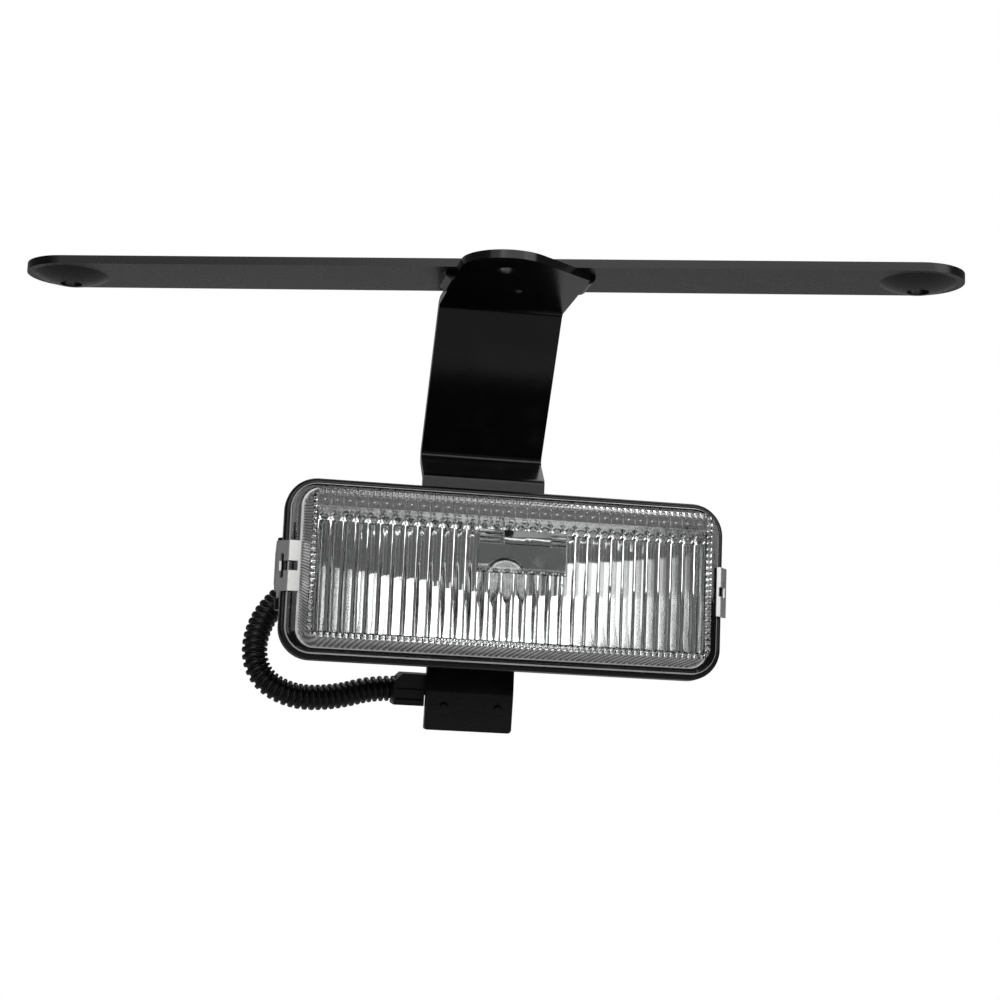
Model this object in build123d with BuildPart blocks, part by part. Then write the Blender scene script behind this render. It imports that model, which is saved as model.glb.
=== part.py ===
from build123d import *
from math import acos, atan2, cos, degrees, hypot, pi, radians, sin, sqrt, tan
import os

# Fog lamp on a welded strap hanger.
# X runs across the lamp, the beam leaves along -Y and +Z is up.
# The origin is on the cross strap's top face, where the hanger's centre line crosses the strap's.
# All sizes are in millimetres.

# ---- driving dimensions: cross strap ----
strap_width = 34.0
strap_thickness = 3.2
strap_left = 172.9        # left bolt hole to the origin, along the strap
strap_right = 149.1       # right bolt hole to the origin, along the strap
strap_yaw = 16.0          # the strap is swept back by this much on the left
bolt_hole = 8.3
dome_diameter = 28.8      # pressed seat round each bolt hole
dome_depth = 3.7

# ---- driving dimensions: hanger arm ----
arm_width = 49.1
arm_thickness = 3.1
lobe_radius = 17.2        # rounded nose of the flange, in front of the strap
lobe_y = -21.5
flange_corner_y = -17.5   # right front corner of the flange
first_bend_y = 33.3
second_bend_y = 68.2
second_bend_z = -60.0
third_bend_z = -69.2
foot_y = 58.0             # front face of the upright foot
foot_x = -2.2
foot_width = 34.6
tab_top_z = -155.2        # the foot's lower tab leans back from here
tab_lean = 8.0
foot_bottom_z = -170.2
taper_top_z = -92.0
taper_bottom_z = -122.0
bend_radius = 3.0
foot_corner_radius = 1.5

# ---- driving dimensions: lamp ----
lamp_x = 1.3
lamp_z = -116.6
rim_width = 166.0
rim_height = 67.0
rim_radius = 12.0
rim_y = 6.0               # front edge of the housing's lip
rim_depth = 6.0
rim_edge_radius = 1.4
lip_wall = 1.7
seat_depth = 3.0          # lip's front edge to the gasket seat
shell_wall = 2.3
shell_inset = 4.7         # rim's outside to the shell's outside
shell_radius = 9.0
shell_depth = 40.0        # gasket seat to the shell's back
shell_draft = 8.0
back_fillet = 6.0
lens_flange = 3.0
lens_side_flange = 4.75    # the clips hook over this
lens_top_flange = 2.4      # and the same below
lens_flange_edge = 1.3
lens_rise = 16.0
lens_draft = 7.5
lens_wall = 3.0
lens_edge_radius = 1.2
lens_corner_ease = 1.5     # the raised front's corners are rounder than its inset gives
gasket_thickness = 2.0
mirror_wall = 1.5
mirror_inset = 1.2
bulb_room = 12.7          # mirror's apex to the shell's back wall
mirror_draft = 8.0
mirror_hole = 14.0

# ---- driving dimensions: bulb ----
bulb_diameter = 11.5
bulb_length = 24.0
bulb_wall = 1.0
base_disc = 20.0
base_disc_thickness = 1.5
base_can = 13.0
base_can_length = 7.5
filament_from_apex = 22.0
shield_diameter = 17.0
shield_wall = 0.8
bail_wire = 1.6
bail_half_length = 12.0
bail_half_width = 8.2
bail_ear_width = 3.0       # ears on the reflector that the bail hinges in
bail_ear_height = 5.0
bail_ear_cover = 1.0       # plastic behind the bail's wire
bail_catch_width = 8.0     # step on the reflector that the bail snaps over
bail_catch_height = 3.0
base_neck_reach = 1.0      # base's neck past the mirror's apex

# ---- driving dimensions: tilt pivot ----
pivot_z = -139.0
sleeve_diameter = 12.0
bolt_diameter = 6.0
ear_thickness = 5.0
ear_radius = 7.0
washer_diameter = 12.0
washer_thickness = 1.2
hex_across_flats = 10.0
head_height = 4.0
nut_height = 6.0

# ---- driving dimensions: lens clips ----
clip_height = 18.6
clip_thickness = 0.9
clip_bend_radius = 1.26
clip_pin = 3.0
clip_pin_y = 30.0
clip_pin_inset = 2.5      # pin's centre inside the rim's side
clip_lug_thickness = 4.0
clip_hook_length = 4.2
clip_bend_inset = 2.2     # bend over the lens, inside the rim's side
clip_flare = 2.4          # the side panel stands out this far beyond the rim
clip_panel_depth = 4.6
clip_panel_tail = 8.0      # the strip runs on straight behind the panel for this much
clip_tail_lean = 0.3       # and leans in by this much
clip_eye_run = 6.0         # straight run in front of the hinge eye
clip_short_hook = 1.7     # the right clip is pressed with a shorter hook
clip_short_inset = 1.3
clip_short_flare = 2.1
clip_hook_bar = 0.9       # steel left at the hook's tip, past the window
clip_waist = 3.4          # cut into each side of the strip behind the panel
clip_window_height = 3.6
clip_slot_length = 9.2
clip_slot_width = 1.6

# ---- driving dimensions: conduit and connector ----
conduit_diameter = 10.0
grommet_x = -57.0
grommet_z = -113.0
grommet_collar = 16.0
grommet_neck = 12.0
grommet_bore = 7.0
lead_diameter = 2.2
carrier_thickness = 2.2
screw_spacing = 21.4
screw_row_x = foot_x + 0.7
screw_height = -5.7       # from the tab's bend, along the tab
spigot_hole = 5.4
screw_diameter = 3.4
screw_head = 6.2
backshell_length = 12.0
backshell_height = 12.4
backshell_top = 6.0       # from the tab's bend, along the tab
conduit_entry = -0.4
connector_depth = 12.7
connector_height = 8.2
connector_length = 32.0
connector_wall = 1.2

# ---- clearances ----
bore_gap = 0.10           # radial, pins and bolt in their holes
slip_gap = 0.05           # radial, pushed-in round pieces
part_gap = 0.30           # between pieces that move or are sprung on

os.makedirs("parts", exist_ok=True)


def save(block, label):
    block.part.label = label
    export_step(block.part, "parts/" + label + ".step")


# ---- derived places ----
strap_plane = Plane(
    origin=(0, 0, 0),
    x_dir=(cos(radians(strap_yaw)), -sin(radians(strap_yaw)), 0),
    z_dir=(0, 0, 1),
)
flange_top_z = -strap_thickness
flange_under_z = flange_top_z - arm_thickness
foot_back_y = foot_y + arm_thickness
lobe_x = -arm_width / 2 + lobe_radius
seat_y = rim_y + seat_depth
lens_back_y = seat_y - gasket_thickness
lens_front_y = lens_back_y - lens_flange
shell_back_y = seat_y + shell_depth
pivot_y = foot_y - sleeve_diameter / 2
lens_width = rim_width - 2 * (lip_wall + part_gap)
lens_height = rim_height - 2 * (lip_wall + part_gap)
lens_radius = rim_radius - lip_wall - part_gap
shell_width = rim_width - 2 * shell_inset
shell_height = rim_height - 2 * shell_inset
inner_width = shell_width - 2 * shell_wall
inner_height = shell_height - 2 * shell_wall
inner_radius = shell_radius - shell_wall
cavity_back_y = shell_back_y - shell_wall
mirror_apex_y = cavity_back_y - bulb_room
mirror_depth = mirror_apex_y - lens_back_y - mirror_wall
beam_axis = Axis((lamp_x, 0, lamp_z), (0, 1, 0))


tab_plane = Plane(
    origin=(0, foot_y, tab_top_z),
    x_dir=(1, 0, 0),
    z_dir=(0, -cos(radians(tab_lean)), -sin(radians(tab_lean))),
)
tab_back = Vector(0, cos(radians(tab_lean)), sin(radians(tab_lean)))
tab_up = Vector(0, -sin(radians(tab_lean)), cos(radians(tab_lean)))


def tab_point(x, depth, height):
    """Place given as X, depth behind the tab's front face and height above its bend."""
    return Vector(x, foot_y, tab_top_z) + tab_back * depth + tab_up * height


def across_tab(x):
    """Plane at this X whose own axes are depth behind the tab and height above its bend."""
    return Plane(origin=(x, foot_y, tab_top_z), x_dir=tab_back, z_dir=(1, 0, 0))


def lamp_section(y):
    """Plane across the lamp at this depth, centred on the beam, with its normal pointing back."""
    return Plane(origin=(lamp_x, y, lamp_z), x_dir=(1, 0, 0), z_dir=(0, 1, 0))


def across(x):
    """Plane at this X whose own axes are Y and Z."""
    return Plane.YZ.offset(x)


# ---- cross strap: flat bar with full-round ends and a pressed seat round each bolt hole ----
dome_sphere = (dome_diameter ** 2 / 4 + dome_depth ** 2) / (2 * dome_depth)


def dome_drop(radius):
    """How far the pressed seat lies below the flat bar at this radius from its centre."""
    return dome_depth - dome_sphere + sqrt(dome_sphere ** 2 - radius ** 2)


hole_drop = dome_drop(bolt_hole / 2)
with BuildPart() as seat_cap:
    with BuildSketch(Plane.XZ):
        with BuildLine():
            ThreePointArc(
                (0, -dome_depth),
                (dome_diameter / 4, -dome_drop(dome_diameter / 4)),
                (dome_diameter / 2, 0),
            )
            Line((dome_diameter / 2, 0), (0, 0))
            Line((0, 0), (0, -dome_depth))
        make_face()
    revolve(axis=Axis.Z)

bolt_places = [(-strap_left, 0, 0), (strap_right, 0, 0)]
with BuildPart(strap_plane) as cross_strap:
    with BuildSketch(strap_plane):
        with Locations(((strap_right - strap_left) / 2, 0)):
            SlotCenterToCenter(strap_left + strap_right, strap_width)
    extrude(amount=-strap_thickness)
    with Locations(*[(x, y, -strap_thickness) for x, y, z in bolt_places]):
        add(seat_cap.part)
    with Locations(*bolt_places):
        add(seat_cap.part, mode=Mode.SUBTRACT)
    with Locations(*bolt_places):
        Hole(bolt_hole / 2, depth=2 * (strap_thickness + dome_depth))
save(cross_strap, "cross_strap")

# ---- hanger arm: one bent plate, from the flange under the strap down to the foot ----
tangent_reach = hypot(arm_width / 2 - lobe_x, flange_corner_y - lobe_y)
tangent_angle = degrees(
    atan2(flange_corner_y - lobe_y, arm_width / 2 - lobe_x) - acos(lobe_radius / tangent_reach)
)
tangent_point = (
    lobe_x + lobe_radius * cos(radians(tangent_angle)),
    lobe_y + lobe_radius * sin(radians(tangent_angle)),
)
spigot_places = [
    (screw_row_x - screw_spacing / 2, screw_height),
    (screw_row_x + screw_spacing / 2, screw_height),
]
with BuildPart() as hanger_arm:
    with BuildSketch(across(-arm_width / 2)):
        with BuildLine():
            under_face = FilletPolyline(
                (lobe_y - lobe_radius, flange_under_z),
                (first_bend_y, flange_under_z),
                (second_bend_y, second_bend_z),
                (foot_y, third_bend_z),
                (foot_y, tab_top_z),
                (foot_y + (tab_top_z - foot_bottom_z) * tan(radians(tab_lean)), foot_bottom_z),
                radius=bend_radius,
            )
            offset(under_face, amount=arm_thickness, side=Side.LEFT)
        make_face()
    extrude(amount=arm_width)
    with BuildSketch(Plane.XY.offset(foot_bottom_z)):
        with BuildLine():
            Line((-arm_width / 2, lobe_y), (-arm_width / 2, second_bend_y * 2))
            Line((-arm_width / 2, second_bend_y * 2), (arm_width / 2, second_bend_y * 2))
            Line((arm_width / 2, second_bend_y * 2), (arm_width / 2, flange_corner_y))
            Line((arm_width / 2, flange_corner_y), tangent_point)
            CenterArc((lobe_x, lobe_y), lobe_radius, tangent_angle, -180 - tangent_angle)
        make_face()
    extrude(amount=-foot_bottom_z, mode=Mode.INTERSECT)
    with BuildSketch(Plane.XZ.offset(-2 * second_bend_y)):
        with BuildLine():
            Polyline(
                (-arm_width / 2, 0),
                (-arm_width / 2, taper_top_z),
                (foot_x - foot_width / 2, taper_bottom_z),
                (foot_x - foot_width / 2, foot_bottom_z),
                (foot_x + foot_width / 2, foot_bottom_z),
                (foot_x + foot_width / 2, taper_bottom_z),
                (arm_width / 2, taper_top_z),
                (arm_width / 2, 0),
                close=True,
            )
        face = make_face()
        fillet(face.vertices().group_by(Axis.Y)[0], foot_corner_radius)
    extrude(amount=2 * second_bend_y - (lobe_y - lobe_radius), mode=Mode.INTERSECT)
    with Locations(Location((lobe_x, lobe_y, flange_top_z))):
        Hole(bolt_hole / 2, depth=arm_thickness)
    with BuildSketch(tab_plane):
        with Locations(*spigot_places):
            Circle(spigot_hole / 2)
    extrude(amount=-2 * arm_thickness, mode=Mode.SUBTRACT)
save(hanger_arm, "hanger_arm")

# ---- weld beads: flange sides to the strap, one plug weld, and the sleeve to the foot ----
bead_leg = arm_thickness
bead_half_length = 8.0
bead_slope = tan(radians(strap_yaw)) * arm_width / 2
sleeve_bead_leg = 3.4
plug_weld_radius = 3.4
plug_weld_height = 0.9
with BuildPart() as weld_beads:
    for side, centre_y in ((-1, bead_slope - 2.0), (1, -bead_slope + 2.0)):
        with BuildSketch(Plane.XZ.offset(-centre_y - bead_half_length)):
            with Locations((side * arm_width / 2, flange_top_z)):
                Circle(bead_leg)
            with Locations((side * (arm_width / 2 + bead_leg), flange_top_z - bead_leg)):
                Rectangle(2 * bead_leg, 2 * bead_leg, mode=Mode.INTERSECT)
        extrude(amount=2 * bead_half_length)
    with BuildSketch(Plane.XZ.offset(-6.0)):
        with BuildLine():
            cap_radius = (plug_weld_radius ** 2 + plug_weld_height ** 2) / (2 * plug_weld_height)
            ThreePointArc(
                (0, flange_under_z - plug_weld_height),
                (
                    plug_weld_radius / 2,
                    flange_under_z
                    - plug_weld_height
                    + cap_radius
                    - sqrt(cap_radius ** 2 - plug_weld_radius ** 2 / 4),
                ),
                (plug_weld_radius, flange_under_z),
            )
            Line((plug_weld_radius, flange_under_z), (0, flange_under_z))
            Line((0, flange_under_z), (0, flange_under_z - plug_weld_height))
        make_face()
    revolve(axis=Axis((0, 6.0, 0), (0, 0, 1)))
    for side in (-1, 1):
        with BuildSketch(across(foot_x - foot_width / 2 + 4.0)):
            with Locations((foot_y - sleeve_bead_leg / 2, pivot_z + side * sleeve_bead_leg)):
                Rectangle(sleeve_bead_leg, 2 * sleeve_bead_leg)
            with Locations((pivot_y, pivot_z)):
                Circle(sleeve_diameter / 2, mode=Mode.SUBTRACT)
            with Locations((foot_y, pivot_z)):
                Circle(2 * sleeve_bead_leg - 0.4, mode=Mode.INTERSECT)
        extrude(amount=foot_width - 8.0)
save(weld_beads, "weld_beads")

# ---- tilt pivot: sleeve welded to the foot, bolt, washers and locking nut ----
sleeve_length = foot_width
ear_inner = foot_width / 2 + part_gap
ear_outer = ear_inner + ear_thickness
with BuildPart() as pivot_sleeve:
    with BuildSketch(across(foot_x - sleeve_length / 2)):
        with Locations((pivot_y, pivot_z)):
            Circle(sleeve_diameter / 2)
            Circle(bolt_diameter / 2 + bore_gap, mode=Mode.SUBTRACT)
    extrude(amount=sleeve_length)
save(pivot_sleeve, "pivot_sleeve")

head_face_x = foot_x - ear_outer - slip_gap - washer_thickness
nut_face_x = foot_x + ear_outer + slip_gap + washer_thickness
bolt_end_x = nut_face_x + nut_height + 2.0
with BuildPart() as pivot_bolt:
    with BuildSketch(across(head_face_x - head_height)):
        with Locations((pivot_y, pivot_z)):
            RegularPolygon(hex_across_flats / 2, 6, major_radius=False)
    extrude(amount=head_height)
    with BuildSketch(across(head_face_x)):
        with Locations((pivot_y, pivot_z)):
            Circle(bolt_diameter / 2)
    extrude(amount=bolt_end_x - head_face_x)
    chamfer(pivot_bolt.faces().sort_by(Axis.X)[-1].edges(), 0.6)
save(pivot_bolt, "pivot_bolt")

with BuildPart() as pivot_washers:
    for washer_x in (head_face_x, nut_face_x - washer_thickness):
        with BuildSketch(across(washer_x)):
            with Locations((pivot_y, pivot_z)):
                Circle(washer_diameter / 2)
                Circle(bolt_diameter / 2 + bore_gap, mode=Mode.SUBTRACT)
        extrude(amount=washer_thickness)
save(pivot_washers, "pivot_washers")

with BuildPart() as pivot_nut:
    with BuildSketch(across(nut_face_x)):
        with Locations((pivot_y, pivot_z)):
            RegularPolygon(hex_across_flats / 2, 6, major_radius=False)
            Circle(bolt_diameter / 2 + slip_gap, mode=Mode.SUBTRACT)
    extrude(amount=nut_height)
save(pivot_nut, "pivot_nut")

# ---- housing: moulded bucket with a lip round the lens, two tilt ears and four clip lugs ----
notch_radius = sleeve_diameter / 2 + 2.0
notch_left_x = head_face_x - head_height - 1.0
notch_right_x = bolt_end_x + 1.0
clip_pin_x = rim_width / 2 - clip_pin_inset
shell_side = shell_width / 2 - (clip_pin_y - seat_y) * tan(radians(shell_draft))
lug_radius = clip_pin / 2 + 1.5
grommet_hole = grommet_neck / 2 + slip_gap

with BuildPart() as housing_cavity:
    with BuildSketch(lamp_section(seat_y)):
        RectangleRounded(inner_width, inner_height, inner_radius)
    extrude(amount=shell_depth - shell_wall, taper=shell_draft)
    fillet(housing_cavity.faces().sort_by(Axis.Y)[-1].edges(), back_fillet - shell_wall)
    with BuildSketch(across(notch_left_x - shell_wall)):
        with Locations((pivot_y, pivot_z)):
            Circle(notch_radius + shell_wall)
    extrude(amount=notch_right_x - notch_left_x + 2 * shell_wall, mode=Mode.SUBTRACT)
    with BuildSketch(lamp_section(rim_y)):
        RectangleRounded(
            lens_width + 2 * part_gap, lens_height + 2 * part_gap, lens_radius + part_gap
        )
    extrude(amount=seat_depth)

with BuildPart() as housing:
    with BuildSketch(lamp_section(seat_y)):
        RectangleRounded(shell_width, shell_height, shell_radius)
    extrude(amount=shell_depth, taper=shell_draft)
    fillet(housing.faces().sort_by(Axis.Y)[-1].edges(), back_fillet)
    with BuildSketch(lamp_section(rim_y)):
        RectangleRounded(rim_width, rim_height, rim_radius)
    extrude(amount=rim_depth)
    fillet(housing.faces().sort_by(Axis.Y)[0].edges(), rim_edge_radius)
    with BuildSketch(across(notch_left_x)):
        with Locations((pivot_y, pivot_z)):
            Circle(notch_radius)
    extrude(amount=notch_right_x - notch_left_x, mode=Mode.SUBTRACT)
    for ear_x in (foot_x - ear_outer, foot_x + ear_inner):
        with BuildSketch(across(ear_x)):
            with Locations((pivot_y, pivot_z)):
                Circle(ear_radius)
            with Locations((shell_back_y - 12.0, pivot_z + 8.0)):
                Circle(ear_radius)
            make_hull()
        extrude(amount=ear_thickness)
    for lug_z in (lamp_z - clip_height / 2 - part_gap - clip_lug_thickness,
                  lamp_z + clip_height / 2 + part_gap):
        with BuildSketch(Plane.XY.offset(lug_z)):
            for side in (-1, 1):
                with Locations((lamp_x + side * clip_pin_x, clip_pin_y)):
                    Circle(lug_radius)
                with Locations((lamp_x + side * (clip_pin_x + shell_side - 1.0) / 2, clip_pin_y)):
                    Rectangle(clip_pin_x - shell_side + 1.0, 2 * lug_radius)
        extrude(amount=clip_lug_thickness)
    add(housing_cavity.part, mode=Mode.SUBTRACT)
    with BuildSketch(across(foot_x - ear_outer)):
        with Locations((pivot_y, pivot_z)):
            Circle(bolt_diameter / 2 + bore_gap)
    extrude(amount=2 * ear_outer, mode=Mode.SUBTRACT)
    with BuildSketch(Plane.XY.offset(lamp_z - clip_height)):
        with Locations((lamp_x - clip_pin_x, clip_pin_y), (lamp_x + clip_pin_x, clip_pin_y)):
            Circle(clip_pin / 2 + slip_gap)
    extrude(amount=2 * clip_height, mode=Mode.SUBTRACT)
    with BuildSketch(Plane.XZ.offset(-shell_back_y)):
        with Locations((grommet_x, grommet_z)):
            Circle(grommet_hole)
    extrude(amount=shell_wall * 2, mode=Mode.SUBTRACT)
save(housing, "housing")

# ---- lens gasket: flat ring between the lens and the housing's seat ----
with BuildPart() as lens_gasket:
    with BuildSketch(lamp_section(lens_back_y)):
        RectangleRounded(lens_width, lens_height, lens_radius)
        RectangleRounded(inner_width, inner_height, inner_radius, mode=Mode.SUBTRACT)
    extrude(amount=gasket_thickness)
save(lens_gasket, "lens_gasket")

# ---- lens: pressed glass, a flat flange with a raised, hollow front ----
raised_width = lens_width - 2 * lens_side_flange
raised_height = lens_height - 2 * lens_top_flange
raised_radius = lens_radius - lens_side_flange + lens_corner_ease
with BuildPart() as lens:
    with BuildSketch(lamp_section(lens_back_y)):
        RectangleRounded(lens_width, lens_height, lens_radius)
    extrude(amount=-lens_flange)
    fillet(lens.faces().sort_by(Axis.Y)[0].edges(), lens_flange_edge)
    with BuildSketch(lamp_section(lens_front_y)):
        RectangleRounded(raised_width, raised_height, raised_radius)
    extrude(amount=-lens_rise, taper=lens_draft)
    fillet(lens.faces().sort_by(Axis.Y)[0].edges(), lens_edge_radius)
    with BuildSketch(lamp_section(lens_back_y)):
        RectangleRounded(
            raised_width - 2 * lens_wall, raised_height - 2 * lens_wall, raised_radius
        )
    extrude(amount=-(lens_flange + lens_rise - lens_wall), taper=lens_draft / 2, mode=Mode.SUBTRACT)
save(lens, "lens")

# ---- reflector: metallised dish, cut square, with a flange behind the lens ----
mirror_flange_width = inner_width - 2 * part_gap
mirror_flange_height = inner_height - 2 * part_gap
dish_width = mirror_flange_width - 2 * mirror_inset
dish_height = mirror_flange_height - 2 * mirror_inset
dish_radius = inner_radius
dish_reach = hypot(dish_width / 2, dish_height / 2)
dish_focus = (dish_width / 2 - mirror_wall) ** 2 / (4 * mirror_depth)
beam_plane = Plane(origin=(lamp_x, 0, lamp_z), x_dir=(1, 0, 0), z_dir=(0, 0, 1))


def dish_y(radius, apex):
    """Depth of a dish with this apex at this distance from the beam."""
    return apex - radius ** 2 / (4 * dish_focus)


def dish_fill(apex):
    """Half section of the space in front of a dish, for turning round the beam."""
    with BuildSketch(beam_plane) as section:
        with BuildLine():
            Bezier((0, apex), (dish_reach / 2, apex), (dish_reach, dish_y(dish_reach, apex)))
            Line((dish_reach, dish_y(dish_reach, apex)), (dish_reach, 0))
            Line((dish_reach, 0), (0, 0))
            Line((0, 0), (0, apex))
        make_face()
    return section.sketch


boss_radius = base_disc / 2 + 1.5
boss_back_y = mirror_apex_y + mirror_wall + 1.5
base_seat_y = boss_back_y
with BuildPart() as mirror_cavity:
    with BuildSketch(lamp_section(lens_back_y)):
        RectangleRounded(
            dish_width - 2 * mirror_wall, dish_height - 2 * mirror_wall, dish_radius - mirror_wall
        )
    extrude(amount=2 * mirror_depth, taper=mirror_draft)
    revolve(dish_fill(mirror_apex_y), axis=beam_axis, mode=Mode.INTERSECT)

bail_y = base_seat_y + base_disc_thickness + slip_gap + bail_wire / 2
bail_hinge_z = lamp_z + bail_half_length
ear_gap_x = bail_half_width + bail_wire / 2 + part_gap
with BuildPart() as reflector:
    with BuildSketch(lamp_section(lens_back_y)):
        RectangleRounded(dish_width, dish_height, dish_radius)
    extrude(amount=2 * mirror_depth, taper=mirror_draft)
    revolve(dish_fill(mirror_apex_y + mirror_wall), axis=beam_axis, mode=Mode.INTERSECT)
    with BuildSketch(lamp_section(lens_back_y)):
        RectangleRounded(mirror_flange_width, mirror_flange_height, inner_radius - part_gap)
    extrude(amount=mirror_wall)
    with BuildSketch(lamp_section(mirror_apex_y)):
        Circle(boss_radius)
    extrude(amount=boss_back_y - mirror_apex_y)
    with BuildSketch(lamp_section(mirror_apex_y)):
        for side in (-1, 1):
            with Locations((side * (ear_gap_x + bail_ear_width / 2), -bail_half_length)):
                Rectangle(bail_ear_width, bail_ear_height)
    extrude(amount=bail_y + bail_wire + bail_ear_cover - mirror_apex_y)
    with BuildSketch(lamp_section(mirror_apex_y)):
        with Locations((0, bail_half_length)):
            Rectangle(bail_catch_width, bail_catch_height)
    extrude(amount=bail_y - bail_wire / 2 - slip_gap - mirror_apex_y)
    add(mirror_cavity.part, mode=Mode.SUBTRACT)
    with BuildSketch(lamp_section(mirror_apex_y - mirror_wall)):
        Circle(mirror_hole / 2)
    extrude(amount=4 * mirror_wall, mode=Mode.SUBTRACT)
    with BuildSketch(across(lamp_x - 2 * bail_half_width)):
        with Locations((bail_y, bail_hinge_z)):
            Circle(bail_wire / 2 + bore_gap)
    extrude(amount=4 * bail_half_width, mode=Mode.SUBTRACT)
save(reflector, "reflector")

# ---- bulb: base with its disc, glass envelope and filament ----
neck_front_y = mirror_apex_y - base_neck_reach
base_back_y = base_seat_y + base_disc_thickness + base_can_length
with BuildPart() as bulb_base:
    with BuildSketch(lamp_section(neck_front_y)):
        Circle(base_can / 2)
    extrude(amount=base_back_y - neck_front_y)
    with BuildSketch(lamp_section(base_seat_y)):
        Circle(base_disc / 2)
    extrude(amount=base_disc_thickness)
    chamfer(bulb_base.faces().sort_by(Axis.Y)[-1].edges(), 0.8)
save(bulb_base, "bulb_base")

bulb_tip_y = neck_front_y - bulb_length
round_end_y = bulb_tip_y + bulb_diameter / 2
glass_inner = bulb_diameter / 2 - bulb_wall
half_root = sqrt(0.5)
with BuildPart() as bulb_glass:
    with BuildSketch(beam_plane):
        with BuildLine():
            Line((bulb_diameter / 2, neck_front_y), (bulb_diameter / 2, round_end_y))
            ThreePointArc(
                (bulb_diameter / 2, round_end_y),
                (bulb_diameter / 2 * half_root, round_end_y - bulb_diameter / 2 * half_root),
                (0, bulb_tip_y),
            )
            Line((0, bulb_tip_y), (0, bulb_tip_y + bulb_wall))
            ThreePointArc(
                (0, bulb_tip_y + bulb_wall),
                (glass_inner * half_root, round_end_y - glass_inner * half_root),
                (glass_inner, round_end_y),
            )
            Line((glass_inner, round_end_y), (glass_inner, neck_front_y))
            Line((glass_inner, neck_front_y), (bulb_diameter / 2, neck_front_y))
        make_face()
    revolve(axis=beam_axis)
save(bulb_glass, "bulb_glass")

filament_y = mirror_apex_y - filament_from_apex
post_wire = 0.8
filament_half_length = 2.6
with BuildPart() as bulb_filament:
    with BuildSketch(lamp_section(filament_y)):
        with Locations((-filament_half_length, 0), (filament_half_length, 0)):
            Circle(post_wire / 2)
    extrude(amount=neck_front_y - filament_y)
    with BuildSketch(across(lamp_x - filament_half_length - post_wire / 2)):
        with Locations((filament_y, lamp_z)):
            Circle(0.7)
    extrude(amount=2 * filament_half_length + post_wire)
save(bulb_filament, "bulb_filament")

# ---- bulb shield: bright cup over the bulb's tip, on two legs that stand on the dish ----
shield_front_y = bulb_tip_y - 2.2
shield_back_y = bulb_tip_y + 5.0
leg_z = shield_diameter / 2 - shield_wall / 2
leg_foot_y = dish_y(shield_diameter / 2, mirror_apex_y) - slip_gap
with BuildPart() as bulb_shield:
    with BuildSketch(lamp_section(shield_front_y)):
        Circle(shield_diameter / 2)
    extrude(amount=shield_back_y - shield_front_y)
    fillet(bulb_shield.faces().sort_by(Axis.Y)[0].edges(), 2.0)
    with BuildSketch(lamp_section(shield_front_y + shield_wall)):
        Circle(shield_diameter / 2 - shield_wall)
    extrude(amount=shield_back_y - shield_front_y, mode=Mode.SUBTRACT)
    with BuildSketch(lamp_section(shield_back_y - 1.0)):
        with Locations((0, -leg_z), (0, leg_z)):
            Rectangle(4.0, shield_wall)
    extrude(amount=leg_foot_y - shield_back_y + 1.0)
save(bulb_shield, "bulb_shield")

# ---- bulb bail: spring wire that presses the bulb's disc on its seat ----
bail_reach_x = ear_gap_x + 3.0
with BuildPart() as bulb_bail:
    with BuildLine(Plane(origin=(lamp_x, bail_y, lamp_z), x_dir=(1, 0, 0), z_dir=(0, -1, 0))):
        bail_line = FilletPolyline(
            (-bail_reach_x, bail_half_length),
            (-bail_half_width, bail_half_length),
            (-bail_half_width, -bail_half_length),
            (bail_half_width, -bail_half_length),
            (bail_half_width, bail_half_length),
            (bail_reach_x, bail_half_length),
            radius=bail_wire * 0.75,
        )
    with BuildSketch(Plane(origin=bail_line @ 0, z_dir=bail_line % 0)):
        Circle(bail_wire / 2)
    sweep()
save(bulb_bail, "bulb_bail")

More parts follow.
